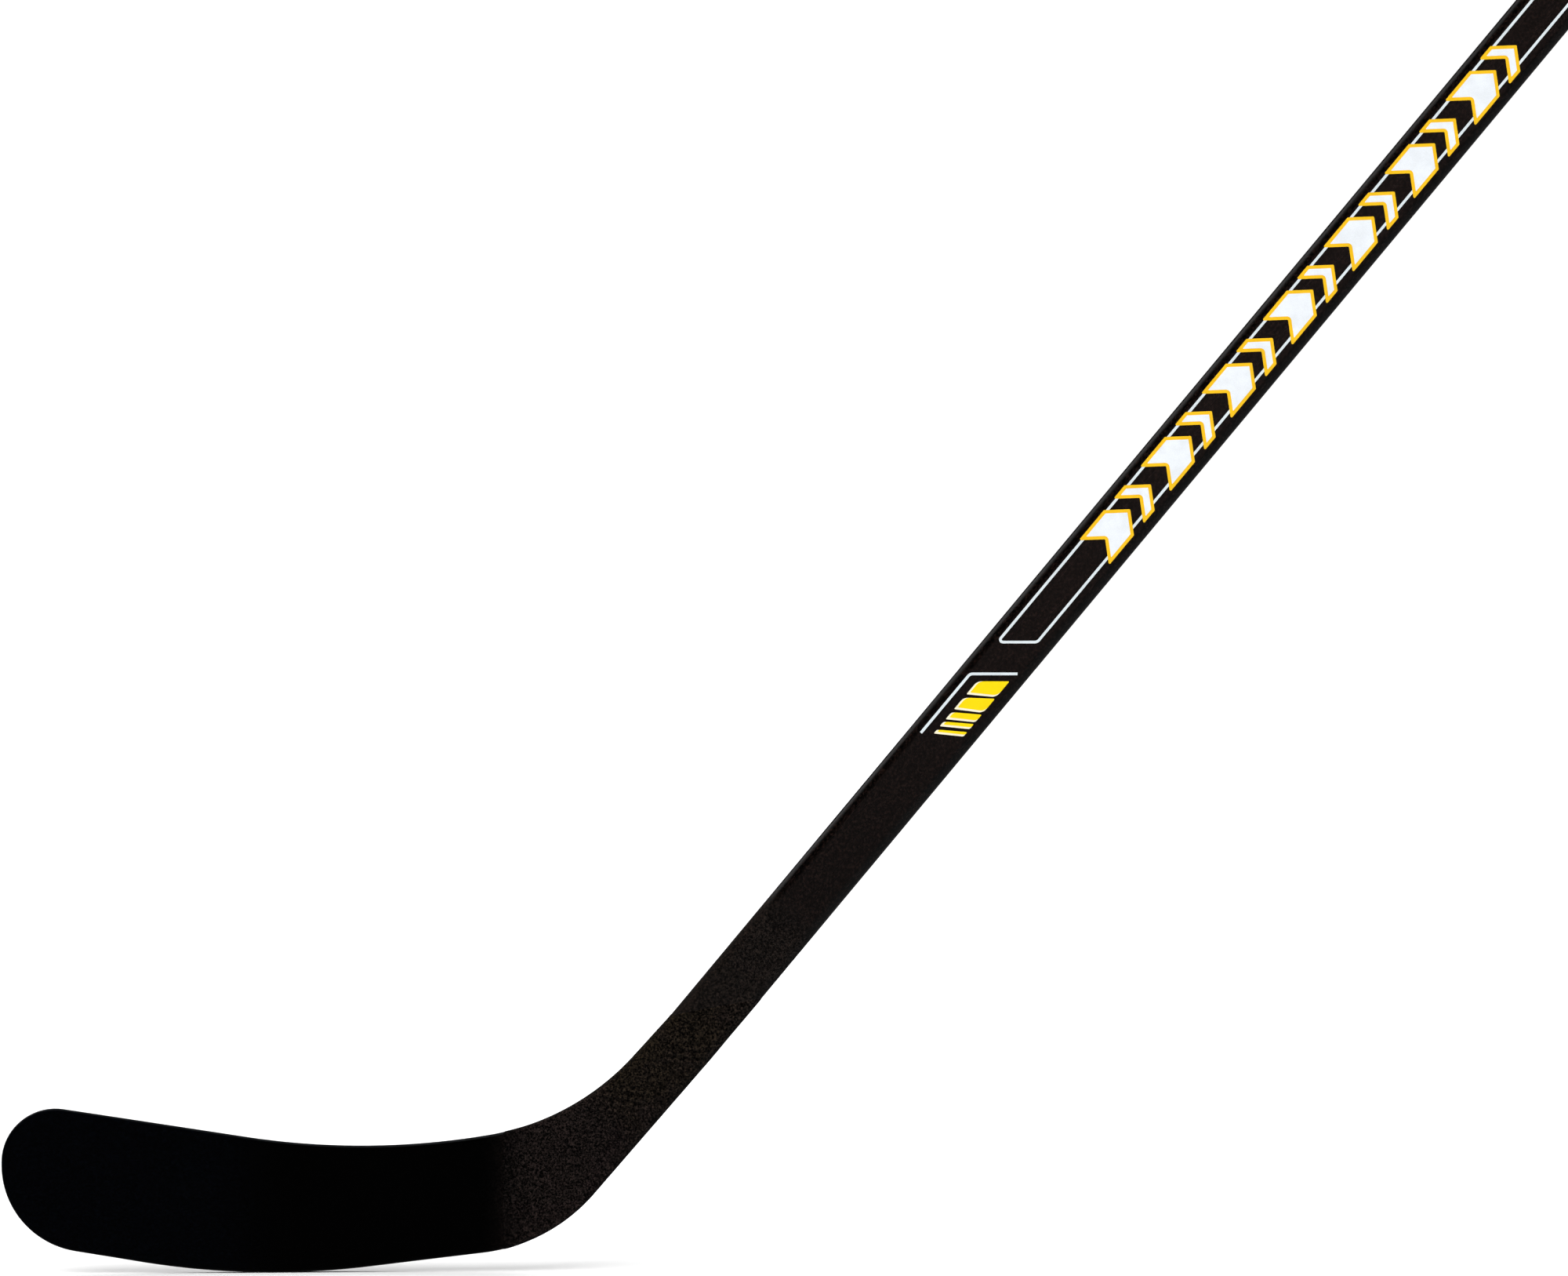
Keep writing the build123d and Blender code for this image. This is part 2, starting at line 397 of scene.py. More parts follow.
heel_skin = heel_cloth()
# Painted shade and highlight: each vertex keeps the depth of the cloth's folds. The heel's colour is
# darkened where it is low and lightened where it is high.
fold_shades = heel_skin.data.attributes.new("fold_shade", "FLOAT", "POINT")
for vertex, fold_shade in zip(heel_skin.data.vertices, fold_shades.data):
    fold_shade.value = ripple(vertex.co) if abs(vertex.co.y) > FOLD_LEAST_Y else 0.0
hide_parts("heel_wrap")
shaft_skin = shaft_sleeve()
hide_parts("shaft_wrap")

# ------------------------------------------------------------------ blade
LONG_STEPS = 96
TOE_STEPS = 26
SEAM_ANGLE = math.degrees(math.asin(1 - FACING / BLADE_EDGE_ROUND))  # where the facing meets the core
RIM_STEPS = 6
GROOVE = 0.00004  # how far the core's rim lies below the facings' rounded edges


def blade_loop(inset):
    """Three runs of points round the blade: top edge to the toe, round the toe, and back below."""
    path = outline(inset)
    start = path.where(lambda p: WRAP_X - p.x, path.start_of(THROAT), path.start_of(THROAT + 1))
    end = path.where(lambda p: p.x - WRAP_X, path.start_of(HEEL), path.start_of(HEEL + 1))
    upper = (path.start_of(UPPER_TOE) + path.start_of(UPPER_TOE + 1)) / 2
    lower = (path.start_of(LOWER_TOE) + path.start_of(LOWER_TOE + 1)) / 2
    top = [path.at(start + (upper - start) * i / LONG_STEPS) for i in range(LONG_STEPS + 1)]
    toe = [path.at(upper + (lower - upper) * i / TOE_STEPS) for i in range(TOE_STEPS + 1)]
    sole = [path.at(lower + (end - lower) * i / LONG_STEPS) for i in range(LONG_STEPS + 1)]
    return top, toe, sole


def blade_point(place, side, depth):
    """A point of the blade over (x, z), depth below its face on that side (-1 is the front)."""
    reach = (WRAP_X - place.x) / (WRAP_X - TOE_X)
    rise = (place.y - SOLE_PLAN_Z) / (TOP_PLAN_Z - SOLE_PLAN_Z)
    middle = -(CURVE_AT_SOLE + (CURVE_AT_TOP - CURVE_AT_SOLE) * rise) * reach ** 2
    half = (BLADE_HEEL_THICKNESS + (BLADE_TOE_THICKNESS - BLADE_HEEL_THICKNESS) * reach) / 2
    return Vector((place.x, middle + side * (half - depth), place.y))


def blade_grid():
    """Places over the flat of the blade, [from heel to toe][from sole to top], as a Coons patch."""
    top, toe, sole = blade_loop(BLADE_EDGE_ROUND)
    sole = sole[::-1]
    toe = toe[::-1]
    rows = []
    for i in range(LONG_STEPS + 1):
        u = i / LONG_STEPS
        row = []
        for j in range(TOE_STEPS + 1):
            v = j / TOE_STEPS
            heel = sole[0].lerp(top[0], v)
            ruled = sole[i].lerp(top[i], v) + heel.lerp(toe[j], u)
            corners = sole[0].lerp(top[0], v).lerp(sole[-1].lerp(top[-1], v), u)
            row.append(ruled - corners)
        rows.append(row)
    return rows


GRID = blade_grid()


class Shape:
    """Vertices and faces gathered piece by piece."""

    def __init__(self):
        self.points, self.faces = [], []

    def add(self, points):
        first = len(self.points)
        self.points += points
        return list(range(first, len(self.points)))

    def strip(self, a, b):
        """Quads between two lines of as many vertices."""
        self.faces += [(a[k], a[k + 1], b[k + 1], b[k]) for k in range(len(a) - 1)]

    def grid(self, side, depth):
        """The flat of the blade, as its rows and its edge from the heel round the toe and back."""
        rows = [self.add([blade_point(p, side, depth) for p in row]) for row in GRID]
        for a, b in zip(rows, rows[1:]):
            self.strip(a, b)
        edge = [row[-1] for row in rows] + rows[-1][-2::-1] + [row[0] for row in rows[-2::-1]]
        return rows, edge

    def rim(self, side, angle, extra=0.0):
        """One line of the rounded rim: angle 90 is level with the face and 0 is the edge."""
        a = math.radians(angle)
        inset = BLADE_EDGE_ROUND * (1 - math.cos(a)) + extra
        depth = BLADE_EDGE_ROUND * (1 - math.sin(a)) + extra
        top, toe, sole = blade_loop(inset)
        return self.add([blade_point(p, side, depth) for p in top + toe[1:] + sole[1:]])


def facing(name, side):
    """One face's laminate, with its part of the rounded rim."""
    shape = Shape()
    rows, edge = shape.grid(side, 0.0)
    lines = [edge]
    for k in range(1, RIM_STEPS + 1):
        lines.append(shape.rim(side, 90 - (90 - SEAM_ANGLE) * k / RIM_STEPS))
    back_rows, back_edge = shape.grid(side, FACING)
    lines.append(back_edge)
    for a, b in zip(lines, lines[1:]):
        shape.strip(a, b)
    shape.strip(rows[0], back_rows[0])
    shape.faces.append(tuple(line[0] for line in lines))
    shape.faces.append(tuple(line[-1] for line in lines))
    obj = new_object(name, shape.points, shape.faces)
    return obj


front_facing = facing("facing_front", -1)
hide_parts("blade_facing_front")
back_facing = facing("facing_back", 1)
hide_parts("blade_facing_back")


def core():
    """What lies between the facings, with the middle of the rim."""
    shape = Shape()
    front_rows, front_edge = shape.grid(-1, FACING)
    back_rows, back_edge = shape.grid(1, FACING)
    angles = [SEAM_ANGLE * (1 - k / RIM_STEPS) for k in range(RIM_STEPS + 1)]
    lines = [front_edge]
    lines += [shape.rim(-1, angle, GROOVE) for angle in angles]
    lines += [shape.rim(1, angle, GROOVE) for angle in reversed(angles)]
    lines.append(back_edge)
    for a, b in zip(lines, lines[1:]):
        shape.strip(a, b)
    shape.strip(front_rows[0], back_rows[0])
    shape.faces.append(tuple(line[0] for line in lines))
    shape.faces.append(tuple(line[-1] for line in lines))
    obj = new_object("core_rim", shape.points, shape.faces)
    return obj


blade_core = core()
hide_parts("blade_core")


# ------------------------------------------------------------------ finishes
NOISE_SPAN = (0.3, 0.7)  # most of a noise's values lie between these


class Finish:
    """A procedural material. Its patterns are laid out in metres in the stick's own frame."""

    def __init__(self, name, roughness, specular):
        self.material = bpy.data.materials.new(name)
        self.material.use_nodes = True
        self.tree = self.material.node_tree
        self.shader = self.tree.nodes["Principled BSDF"]
        self.shader.inputs["Roughness"].default_value = roughness
        self.shader.inputs["Specular IOR Level"].default_value = specular
        self.place = self.tree.nodes.new("ShaderNodeTexCoord").outputs["Object"]

    def put(self, socket, value):
        """Link a socket to another, or give it a value."""
        if isinstance(value, bpy.types.NodeSocket):
            self.tree.links.new(value, socket)
        else:
            socket.default_value = value

    def node(self, kind, inputs, **settings):
        """A new shader node with these inputs and settings."""
        node = self.tree.nodes.new("ShaderNode" + kind)
        for key, value in settings.items():
            setattr(node, key, value)
        for key, value in inputs.items():
            self.put(node.inputs[key], value)
        return node

    def math(self, operation, a, b=0.0):
        return self.node("Math", {0: a, 1: b}, operation=operation).outputs[0]

    def dot(self, direction):
        """How far the place is along a direction."""
        inputs = {0: self.place, 1: tuple(direction)}
        return self.node("VectorMath", inputs, operation="DOT_PRODUCT").outputs["Value"]

    def stretched(self, along, through, across):
        """The place along the shaft, through it and across it, each times its own factor."""
        inputs = {"X": self.math("MULTIPLY", self.dot(ALONG), along),
                  "Y": self.math("MULTIPLY", self.dot((0, 1, 0)), through),
                  "Z": self.math("MULTIPLY", self.dot(INWARD), across)}
        return self.node("CombineXYZ", inputs).outputs[0]

    def noise(self, scale, detail=2.0, vector=None):
        inputs = {"Vector": vector or self.place, "Scale": scale, "Detail": detail}
        return self.node("TexNoise", inputs).outputs["Fac"]

    def ramp(self, value, low, high, start=0.0, end=1.0):
        """From start to end as the value goes from low to high, and level beyond them."""
        inputs = {"Value": value, "From Min": low, "From Max": high, "To Min": start, "To Max": end}
        return self.node("MapRange", inputs, interpolation_type="SMOOTHSTEP").outputs["Result"]

    def varied(self, scale, start, end, detail=2.0):
        """A number that wanders between start and end over the surface."""
        return self.ramp(self.noise(scale, detail), *NOISE_SPAN, start, end)

    def mix(self, factor, a, b):
        inputs = {0: factor, 6: a, 7: b}
        return self.node("Mix", inputs, data_type="RGBA").outputs[2]

    def tint(self, colour, factor):
        """The colour times a number that varies over the surface."""
        colour = colour if isinstance(colour, bpy.types.NodeSocket) else tuple(colour[:3])
        inputs = {0: colour, "Scale": factor}
        return self.node("VectorMath", inputs, operation="SCALE").outputs[0]

    def colour(self, value):
        self.put(self.shader.inputs["Base Color"], value)

    def roughness(self, value):
        self.put(self.shader.inputs["Roughness"], value)

    def bump(self, height, distance, strength=1.0):
        bump = self.node("Bump", {"Height": height, "Distance": distance, "Strength": strength})
        self.put(self.shader.inputs["Normal"], bump.outputs[0])

    def on(self, *objects):
        for obj in objects:
            obj.data.materials.clear()
            obj.data.materials.append(self.material)


MATT_BLACK = (0.0051, 0.0033, 0.0029)
OLIVE_BLACK = (0.0055, 0.0038, 0.0022)
JOIN_BLACK = (0.0045, 0.0028, 0.0020)
OLIVE_STRETCH = (0.165, 0.195, 0.235, 0.290)  # where along the shaft the brown tinge comes and goes
SATIN_BLACK = (0.00085, 0.00038, 0.00028)
BLADE_BLACK = (0.0001, 0.0001, 0.0001)
# painted sheen: a faint bluish reflection put into the blade's colour towards the toe
TOE_PAINTED_SHEEN = (0.0002, 0.0004, 0.0009)
EDGE_BLACK = (0.0022, 0.0024, 0.0029)
# where along x the painted sheen begins and where it is full
TOE_SHEEN_FROM_X = 0.015
TOE_SHEEN_TO_X = -0.030
BLADE_END_X = 0.114
HEEL_BLACK_X = 0.144
BLACKS_WANDER = 0.004  # how far the change between them wanders
SATIN_FROM = 0.300  # along the shaft
SATIN_TO = 0.325
MATT_ROUGHNESS = 0.82
SATIN_ROUGHNESS = 0.30
SPECKLE_SCALE = 1150.0
SPECKLE_SPAN = (0.34, 0.70)
SPECKLE_DARK = 0.95  # how far the grain falls below 1, for each part of spread
SPECKLE_LIGHT = 2.2  # and rises above it
MOTTLE_SCALE = 600.0
MOTTLE = 0.7  # how far the mottle goes either way, for each part of spread
MOTTLE_LESS = 0.14  # less this
CLOTH_THREADS = 3200.0  # radians for each metre
LAMINATE_THREADS = 3140.0


def speckle(finish, spread):
    """A fine grain times coarser and broader patches, about 1."""
    least = max(0.0, 1 - SPECKLE_DARK * spread)
    most = 1 + SPECKLE_LIGHT * spread
    grain = finish.ramp(finish.noise(SPECKLE_SCALE), *SPECKLE_SPAN, least, most)
    coarse = MOTTLE * spread - MOTTLE_LESS
    mottle = finish.varied(MOTTLE_SCALE, max(0.0, 1 - coarse), 1 + coarse, detail=1.0)
    patches = finish.varied(scale=60.0, start=0.93, end=1.07)
    return finish.math("MULTIPLY", grain, finish.math("MULTIPLY", mottle, patches))


def weave(finish, directions, threads):
    """Crossing threads, from -1 to 1."""
    warp, weft = [finish.math("SINE", finish.math("MULTIPLY", finish.dot(direction), threads))
                  for direction in directions]
    return finish.math("MULTIPLY", warp, weft)


def matt_black(finish):
    """Warm black with a browner stretch."""
    s = finish.dot(ALONG)
    comes = finish.ramp(s, *OLIVE_STRETCH[:2])
    goes = finish.ramp(s, *OLIVE_STRETCH[2:], start=1.0, end=0.0)
    uneven = finish.ramp(finish.noise(scale=45.0), low=0.35, high=0.6, start=0.2, end=1.0)
    hue = finish.math("MULTIPLY", finish.math("MULTIPLY", comes, goes), uneven)
    return finish.mix(hue, (*MATT_BLACK, 1), (*OLIVE_BLACK, 1))


def heel_black(finish, spread):
    """Matt warm black that fades to the blade's black, with a painted bluish sheen that grows towards
    the toe.
    """
    x = finish.dot((1, 0, 0))
    warm = matt_black(finish)
    # painted sheen: the blade's black turns bluer towards the toe, in place of a faint reflection
    toe = finish.ramp(x, TOE_SHEEN_TO_X, TOE_SHEEN_FROM_X, start=1.0, end=0.0)
    blade_black_and_sheen = finish.mix(toe, (*BLADE_BLACK, 1), (*TOE_PAINTED_SHEEN, 1))
    wander = finish.math("MULTIPLY", finish.noise(scale=90.0), BLACKS_WANDER)
    warmth = finish.ramp(finish.math("ADD", x, wander), BLADE_END_X, HEEL_BLACK_X)
    return finish.tint(finish.mix(warmth, blade_black_and_sheen, warm), speckle(finish, spread))


def shaft_paint():
    """Matt next to the heel, and satin above."""
    finish = Finish("shaft_satin_black", roughness=0.32, specular=0.5)
    satin = finish.ramp(finish.dot(ALONG), SATIN_FROM, SATIN_TO)
    join = finish.tint(JOIN_BLACK, speckle(finish, spread=0.8))
    above = finish.tint(SATIN_BLACK, speckle(finish, spread=2.2))
    finish.colour(finish.mix(satin, join, above))
    along_it = finish.stretched(along=18, through=700, across=700)
    streaks = finish.noise(scale=1.0, detail=3.0, vector=along_it)
    wear = finish.ramp(streaks, low=0.35, high=0.65, start=-0.03, end=0.05)
    base = finish.ramp(satin, 0.0, 1.0, MATT_ROUGHNESS, SATIN_ROUGHNESS)
    finish.roughness(finish.math("ADD", base, wear))
    peel = finish.noise(scale=900.0, detail=1.0)
    fibres = finish.stretched(along=25, through=900, across=900)
    grain = finish.noise(scale=1.0, detail=2.0, vector=fibres)
    finish.bump(finish.math("ADD", peel, finish.math("MULTIPLY", grain, 0.6)), distance=0.00009)
    return finish


def heel_paint():
    """Matt, over cloth, with painted shade in the bottoms of its folds and a painted highlight on their
    crests.
    """
    finish = Finish("heel_matt_black", roughness=0.7, specular=0.14)
    fold_shade = finish.node("Attribute", {}, attribute_name="fold_shade").outputs["Fac"]
    # painted shade and highlight: darker colour in the folds' bottoms, lighter on their crests
    fold_shade_and_highlight = finish.ramp(fold_shade, low=-0.9, high=0.6, start=0.45, end=1.15)
    finish.colour(finish.tint(heel_black(finish, spread=1.0), fold_shade_and_highlight))
    finish.roughness(finish.varied(scale=500.0, start=0.6, end=0.85))
    threads = weave(finish, (ALONG + INWARD, ALONG - INWARD), CLOTH_THREADS)
    lumps = finish.noise(scale=450.0, detail=3.0)
    finish.bump(finish.math("ADD", lumps, finish.math("MULTIPLY", threads, 0.12)), distance=0.00006)
    return finish


def blade_laminate():
    finish = Finish("blade_laminate_black", roughness=0.45, specular=0.07)
    finish.colour(heel_black(finish, spread=0.6))
    finish.roughness(finish.varied(scale=120.0, start=0.38, end=0.55, detail=3.0))
    threads = weave(finish, ((1, 0, 0), (0, 0, 1)), LAMINATE_THREADS)
    lumps = finish.noise(scale=300.0)
    finish.bump(finish.math("ADD", lumps, finish.math("MULTIPLY", threads, 0.15)), distance=0.00002)
    return finish


def blade_plastic():
    finish = Finish("blade_abs_black", roughness=0.5, specular=0.3)
    grain = finish.varied(scale=700.0, start=0.75, end=1.25, detail=3.0)
    finish.colour(finish.tint(EDGE_BLACK, grain))
    finish.roughness(finish.varied(scale=250.0, start=0.42, end=0.6))
    finish.bump(finish.noise(scale=900.0, detail=2.0), distance=0.00003)
    return finish


def ink(name, colour, spread=0.05):
    """Ink whose tone varies by about this spread."""
    finish = Finish(name, roughness=0.42, specular=0.18)
    patches = finish.varied(scale=140.0, start=1 - spread, end=1 + spread / 2, detail=3.0)
    dots = finish.varied(scale=2200.0, start=1 - spread / 2, end=1 + spread / 2, detail=1.0)
    finish.colour(finish.tint(colour, finish.math("MULTIPLY", patches, dots)))
    finish.roughness(finish.varied(scale=600.0, start=0.36, end=0.5))
    finish.bump(finish.noise(scale=1100.0, detail=1.0), distance=0.00001)
    return finish


PLY_COUNT = 7
PLY = (SHAFT_THICKNESS - 2 * WRAP_WALL) / PLY_COUNT
GLUE = (0.10, 0.055, 0.025)
GLUE_LINE = 0.035  # its half width, as a part of a ply's thickness
LATE_WOOD = 0.55  # the part of a growth ring after which it darkens
RING_TONE = 0.30


def wood(name, pale, dark, ring_slant, ring_pitch):
    """Wood with its fibres along the shaft: pores and growth rings on its ends, and glued edges."""
    finish = Finish(name, roughness=0.6, specular=0.25)
    fibres = finish.stretched(along=70, through=3600, across=3600)
    pores = finish.noise(scale=1.0, detail=3.0, vector=fibres)
    broad = finish.stretched(along=15, through=420, across=420)
    clouds = finish.noise(scale=1.0, detail=2.0, vector=broad)
    through = finish.dot((0, 1, 0))
    across = finish.math("MULTIPLY", finish.dot(INWARD), ring_slant)
    wander = finish.math("MULTIPLY", finish.noise(scale=110.0, detail=1.0), 0.0035)
    depth = finish.math("ADD", finish.math("ADD", through, across), wander)
    ring = finish.math("PINGPONG", depth, ring_pitch)
    late = finish.ramp(ring, LATE_WOOD * ring_pitch, ring_pitch, start=0.0, end=RING_TONE)
    tone = finish.math("ADD", finish.ramp(pores, low=0.35, high=0.75, start=0.0, end=0.6), late)
    tone = finish.math("ADD", tone, finish.ramp(clouds, *NOISE_SPAN, start=-0.1, end=0.15))
    grown = finish.mix(tone, (*pale, 1), (*dark, 1))
    from_back = finish.math("ADD", through, PLY_COUNT / 2 * PLY)
    layer = finish.math("FRACT", finish.math("DIVIDE", from_back, PLY))
    from_glue = finish.math("PINGPONG", layer, 0.5)
    glue = finish.ramp(from_glue, 0.0, GLUE_LINE, start=0.75, end=0.0)
    finish.colour(finish.mix(glue, grown, (*GLUE, 1)))
    finish.roughness(finish.ramp(pores, *NOISE_SPAN, start=0.5, end=0.8))
    finish.bump(pores, distance=0.00004)
    return finish


shaft_paint().on(shaft_skin)
heel_paint().on(heel_skin)
blade_laminate().on(front_facing, back_facing)
blade_plastic().on(blade_core)

woods = {  # by a word in the names of the CAD's nodes
    "birch": wood("birch", pale=(0.60, 0.42, 0.24), dark=(0.33, 0.19, 0.09),
                  ring_slant=0.10, ring_pitch=0.0011),
    "aspen": wood("aspen", pale=(0.74, 0.61, 0.42), dark=(0.50, 0.36, 0.21),
                  ring_slant=-0.35, ring_pitch=0.0016),
    "core": wood("poplar", pale=(0.66, 0.52, 0.33), dark=(0.40, 0.28, 0.15),
                 ring_slant=0.55, ring_pitch=0.0013),
    "heel_block": wood("ash", pale=(0.60, 0.45, 0.28), dark=(0.30, 0.19, 0.10),
                       ring_slant=0.30, ring_pitch=0.0020),
}
for name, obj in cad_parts.items():
    for word, finish in woods.items():
        if word in name and name != "blade_core":
            finish.on(obj)

# ------------------------------------------------------------------ print
# Places are across the shaft's face, and those with a Z in their names are heights off the floor.
FRONT, BACK = -1, 1
SUNK = 0.00004  # how far a print's underside lies below the paint
COAT = 0.00004  # and how far each coat of ink stands above the one before
PRINT_START = 0.5548  # of the row of chevrons, along the shaft
PRINT_LENGTH = 0.3370
PRINT_ACROSS = 0.0004  # how far the whole print stands off the middle of the face
STRIPE_WIDTH = 0.00135
STRIPE_INNER = 0.0086
STRIPE_OUTER = -0.0070
STRIPE_LOW_Z = 0.3218
STRIPE_HIGH_Z = 0.7180
ACUTE_RADIUS = 0.0013
OBTUSE_RADIUS = 0.0030
BRACKET_WIDTH = 0.0014
BRACKET_ACROSS = 0.0090
BRACKET_END = -0.0096
BRACKET_TOP_Z = 0.3056
BRACKET_LOW_Z = 0.2755
BAR_LEFT = 0.0038
BAR_RIGHT = -0.0089
BARS = [  # height of the top and bottom at the left, and how far each falls to the right
    (0.3018, 0.2952, 0.0000, 0.0015),
    (0.2935, 0.2876, 0.0006, 0.0019),
    (0.2860, 0.2825, 0.0012, 0.0016),
    (0.2812, 0.2789, 0.0012, 0.0015),
    (0.2771, 0.2752, 0.0012, 0.0016),
]
BAR_ROUND = 0.0050  # radius of a bar's blunt corners, where it is thick enough
BAR_ROUND_MOST = 0.8  # and the most of its thickness that the radius may be
BAR_TIP = 0.0003  # radius of its sharp corners
BAR_RIM = 0.0009
CHEVRON_HALF = 0.0100
CHEVRON_SWEEP = 0.0090  # how far its tip leads its wings
CHEVRON_PAIRS = 7
CHEVRON_STROKES = (0.0200, 0.0090)  # the wide one and the narrow one of each pair
CHEVRON_GAP = 0.0075
CHEVRON_ROUND = 0.0006
CHEVRON_EDGE = 0.0017


def level_place(z, across):
    """(s, across) of the point of the shaft's face at height z."""
    rise = z - AXIS_FOOT.z - across * INWARD.z
    return AXIS_FOOT.dot(ALONG) + rise / ALONG.z, across


def on_face(place, side, height):
    """A point of the shaft's front or back face from (s, across), height above the paint."""
    return shaft_point(place[0], place[1] + PRINT_ACROSS, side * (SHAFT_THICKNESS / 2 + height))


FRAME_MIDDLE = (level_place(STRIPE_LOW_Z, STRIPE_INNER)[0]
                + level_place(STRIPE_HIGH_Z, STRIPE_OUTER)[0]) / 2


def turned(places):
    """The same places turned half round about the middle of the striped frame."""
    return [(2 * FRAME_MIDDLE - p[0], STRIPE_INNER + STRIPE_OUTER - p[1], *p[2:]) for p in places]


def ring(corners, inset=0.0):
    """Points round a closed shape of (s, across, radius) corners, moved inwards by inset."""
    first, last = corners[0], corners[-1]
    start = ((first[0] + last[0]) / 2, (first[1] + last[1]) / 2, 0)
    return Path([start, *corners, start], inset).drawn()[:-1]


def plate(name, places, side, height):
    """A thin closed plate of ink over a ring of places."""
    count = len(places)
    points = [on_face(p, side, height) for p in places] + [on_face(p, side, -SUNK) for p in places]
    faces = [tuple(range(count)), tuple(range(2 * count - 1, count - 1, -1))]
    faces += [(k, (k + 1) % count, count + (k + 1) % count, count + k) for k in range(count)]
    return new_object(name, points, faces)


def line(name, corners, width, side, closed):
    """A thin closed strip of ink of even width along (s, across, radius) corners."""
    if closed:
        start = tuple((a + b) / 2 for a, b in zip(corners[0][:2], corners[-1][:2])) + (0,)
        corners = [start, *corners, start]
    edges = [Path(corners, half).drawn() for half in (-width / 2, width / 2)]
    if closed:
        edges = [edge[:-1] for edge in edges]
    count = len(edges[0])
    points = [on_face(p, side, height) for edge, height in
              ((edges[0], COAT), (edges[1], COAT), (edges[1], -SUNK), (edges[0], -SUNK)) for p in edge]
    faces = []
    for lane in range(4):
        a, b = lane * count, (lane + 1) % 4 * count
        for k in range(count if closed else count - 1):
            faces.append((a + k, a + (k + 1) % count, b + (k + 1) % count, b + k))
    if not closed:
        faces += [tuple(lane * count + k for lane in range(4)) for k in (0, count - 1)]
    return new_object(name, points, faces)


def frame_corners():
    """The striped frame, a long shape with level ends."""
    ends = [(STRIPE_LOW_Z, STRIPE_INNER, ACUTE_RADIUS), (STRIPE_LOW_Z, STRIPE_OUTER, OBTUSE_RADIUS),
            (STRIPE_HIGH_Z, STRIPE_OUTER, ACUTE_RADIUS), (STRIPE_HIGH_Z, STRIPE_INNER, OBTUSE_RADIUS)]
    return [(*level_place(z, across), radius) for z, across, radius in ends]


def bracket_corners():
    """The bracket, which runs above the bars and down their throat side."""
    return [(*level_place(BRACKET_TOP_Z, BRACKET_END), 0),
            (*level_place(BRACKET_TOP_Z, BRACKET_ACROSS), OBTUSE_RADIUS),
            (*level_place(BRACKET_LOW_Z, BRACKET_ACROSS), 0)]


def bar_corners(bar, trim=0.0):
    """One slanting bar. trim draws its left and lower edges in, to leave the rim showing."""
    top, bottom, top_fall, bottom_fall = bar
    soft = min(BAR_ROUND, BAR_ROUND_MOST * (top - bottom))
    left = BAR_LEFT - trim
    return [(*level_place(top, left), soft),
            (*level_place(bottom + trim, left), BAR_TIP),
            (*level_place(bottom - bottom_fall + trim, BAR_RIGHT), soft),
            (*level_place(top - top_fall, BAR_RIGHT), BAR_TIP)]


def chevron_corners(s, stroke):
    """A chevron that points up the shaft, its wings starting at s."""
    tip = s + CHEVRON_SWEEP
    return [(s, CHEVRON_HALF, CHEVRON_ROUND), (tip, 0, CHEVRON_ROUND), (s, -CHEVRON_HALF, CHEVRON_ROUND),
            (s + stroke, -CHEVRON_HALF, CHEVRON_ROUND), (tip + stroke, 0, CHEVRON_ROUND),
            (s + stroke, CHEVRON_HALF, CHEVRON_ROUND)]


silver = ink("ink_silver_white", (0.66, 0.73, 0.76))
white = ink("ink_white", (0.77, 0.81, 0.85))
amber = ink("ink_amber", (0.86, 0.50, 0.012))
yellow = ink("ink_yellow", (0.88, 0.65, 0.0005), 0.03)
cream = ink("ink_cream", (0.86, 0.80, 0.60))


def bracket_and_bars(side, tag, place):
    """(object, ink) of a bracket and its bars, where place(corners) says how they are turned."""
    bracket = line("bracket_" + tag, place(bracket_corners()), BRACKET_WIDTH, side, False)
    prints = [(bracket, silver)]
    for k, bar in enumerate(BARS):
        rim = plate(f"bar_rim_{tag}_{k + 1}", ring(place(bar_corners(bar))), side, COAT)
        fill = plate(f"bar_{tag}_{k + 1}", ring(place(bar_corners(bar, BAR_RIM))), side, 2 * COAT)
        prints += [(rim, cream), (fill, yellow)]
    return prints


def chevrons(side, face):
    """(object, ink) of a row of wide and narrow chevrons by turns, each white on amber."""
    prints = []
    last_pair = CHEVRON_SWEEP + CHEVRON_GAP + sum(CHEVRON_STROKES)
    pitch = (PRINT_LENGTH - last_pair) / (CHEVRON_PAIRS - 1)
    for k in range(CHEVRON_PAIRS):
        s = PRINT_START + k * pitch
        for width, stroke in zip(("wide", "narrow"), CHEVRON_STROKES):
            corners = chevron_corners(s, stroke)
            tag = f"{width}_{face}_{k + 1}"
            prints.append((plate("chevron_edge_" + tag, ring(corners), side, 2 * COAT), amber))
            inner = ring(corners, CHEVRON_EDGE)
            prints.append((plate("chevron_" + tag, inner, side, 3 * COAT), white))
            s += stroke + CHEVRON_GAP
    return prints


for side, face in ((FRONT, "front"), (BACK, "back")):
    prints = [(line("frame_" + face, frame_corners(), STRIPE_WIDTH, side, True), silver)]
    for number, place in enumerate((list, turned)):  # as they are, and half round
        prints += bracket_and_bars(side, f"{face}_{number + 1}", place)
    prints += chevrons(side, face)
    for obj, coat in prints:
        coat.on(obj)

# ------------------------------------------------------------------ stage, light and camera
FLOOR_SIZE = 120.0
FLOOR_WHITE = 0.97
HORIZON = (-0.3, 0.0)  # between these heights on a unit sphere, the world's lower part gives way
WASH_ANGLE = math.radians(60)
RIM_AIM = 0.61  # along the shaft
FRONT_AIM = 0.70
FRONT_COLOUR = (1.0, 0.71, 0.66)
FRAME_WIDTH = 0.800  # what the picture spans, at the shaft's front face
LENS = 135.0  # in millimetres, as is the sensor
SENSOR = 36.0
CAMERA_X = 0.26745
CAMERA_Z = 0.32415


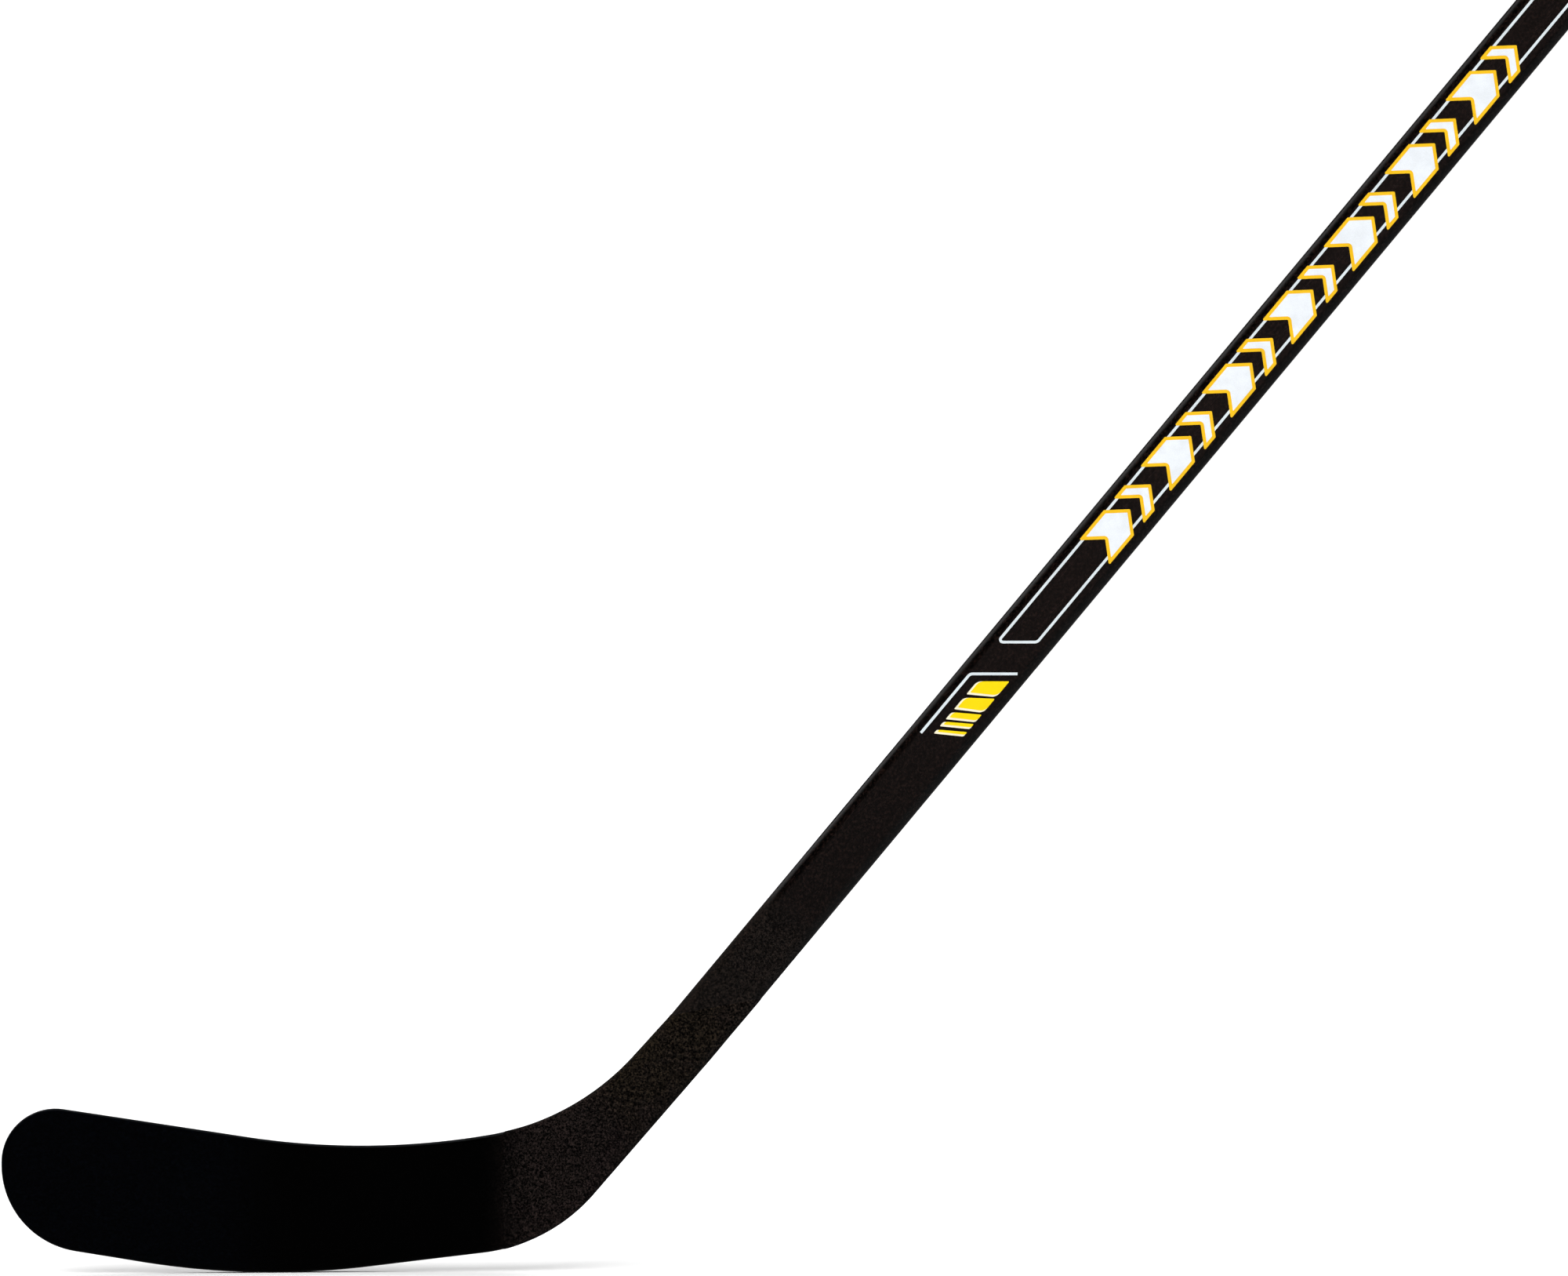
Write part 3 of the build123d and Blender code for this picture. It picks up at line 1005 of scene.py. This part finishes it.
def make_floor():
    """Pale paper, which the paint's reflections don't show."""
    half = FLOOR_SIZE / 2
    mesh = bpy.data.meshes.new("floor")
    corners = [(-half, -half, 0), (half, -half, 0), (half, half, 0), (-half, half, 0)]
    mesh.from_pydata(corners, [], [(0, 1, 2, 3)])
    floor = bpy.data.objects.new("floor", mesh)
    bpy.context.scene.collection.objects.link(floor)
    paper = Finish("floor_paper", roughness=0.9, specular=0.0)
    paper.colour((FLOOR_WHITE, FLOOR_WHITE, FLOOR_WHITE, 1))
    paper.on(floor)
    floor.visible_glossy = False


def make_world(seen_strength, above, below):
    """White to the camera, and dim to everything else, from above and below."""
    world = bpy.data.worlds.new("studio")
    bpy.context.scene.world = world
    world.use_nodes = True
    nodes, links = world.node_tree.nodes, world.node_tree.links
    seen = nodes["Background"]
    seen.inputs["Color"].default_value = (1, 1, 1, 1)
    seen.inputs["Strength"].default_value = seen_strength
    unseen = nodes.new("ShaderNodeBackground")
    unseen.inputs["Color"].default_value = (1, 1, 1, 1)
    place = nodes.new("ShaderNodeTexCoord")
    parts = nodes.new("ShaderNodeSeparateXYZ")
    links.new(place.outputs["Generated"], parts.inputs[0])
    fade = nodes.new("ShaderNodeMapRange")
    fade.inputs["From Min"].default_value = HORIZON[0]
    fade.inputs["From Max"].default_value = HORIZON[1]
    fade.inputs["To Min"].default_value = below
    fade.inputs["To Max"].default_value = above
    links.new(parts.outputs["Z"], fade.inputs["Value"])
    links.new(fade.outputs["Result"], unseen.inputs["Strength"])
    ray = nodes.new("ShaderNodeLightPath")
    choose = nodes.new("ShaderNodeMixShader")
    links.new(ray.outputs["Is Camera Ray"], choose.inputs["Fac"])
    links.new(unseen.outputs["Background"], choose.inputs[1])
    links.new(seen.outputs["Background"], choose.inputs[2])
    links.new(choose.outputs["Shader"], nodes["World Output"].inputs["Surface"])


def add_light(name, kind, energy, place, target):
    """A light at a place, turned to its target, that the camera doesn't see."""
    light = bpy.data.lights.new(name, kind)
    light.energy = energy
    obj = bpy.data.objects.new(name, light)
    bpy.context.scene.collection.objects.link(obj)
    obj.location = place
    obj.rotation_euler = (Vector(target) - Vector(place)).to_track_quat("-Z", "Y").to_euler()
    obj.visible_camera = False
    return obj


def wash(name, direction, strength):
    """A broad even light, from a direction, that makes no reflection of its own."""
    sun = add_light(name, "SUN", strength, direction, (0, 0, 0))
    sun.data.angle = WASH_ANGLE
    sun.visible_glossy = False


def softbox(name, place, target, size, radiance):
    """A rectangular light of this radiance, whatever its size."""
    width, height = size
    box = add_light(name, "AREA", radiance * width * height * math.pi, place, target)
    box.data.shape = "RECTANGLE"
    box.data.size, box.data.size_y = size
    return box


def make_camera():
    """Level, square to the shaft's front face, and as far off as FRAME_WIDTH asks."""
    data = bpy.data.cameras.new("camera")
    data.lens = LENS
    data.sensor_width = SENSOR
    data.clip_end = 2 * FLOOR_SIZE
    camera = bpy.data.objects.new("camera", data)
    bpy.context.scene.collection.objects.link(camera)
    distance = FRAME_WIDTH * LENS / SENSOR
    camera.location = (CAMERA_X, -SHAFT_THICKNESS / 2 - distance, CAMERA_Z)
    camera.rotation_euler = (math.pi / 2, 0, 0)
    bpy.context.scene.camera = camera
    return camera


make_floor()
make_world(seen_strength=1.05, above=0.012, below=0.16)
wash("wash_front", direction=(-0.37, -0.53, 0.76), strength=3.2)
wash("wash_back", direction=(0.30, 0.45, 0.84), strength=1.8)
middle = shaft_point(RIM_AIM)
left = middle + Vector((-1.15, 0.55, 0.96))
right = middle + Vector((1.3, 1.1, 0.5))
softbox("rim_left", left, middle, size=(1.5, 1.5), radiance=0.60)
softbox("rim_right", right, middle, size=(1.2, 1.2), radiance=0.5)
camera = make_camera()
before_face = camera.location + Vector((0.5, -0.2, 0.45))
front = softbox("front", before_face, shaft_point(FRONT_AIM), size=(1.3, 1.3), radiance=0.345)
front.data.color = FRONT_COLOUR
bpy.context.scene.view_settings.view_transform = "Standard"
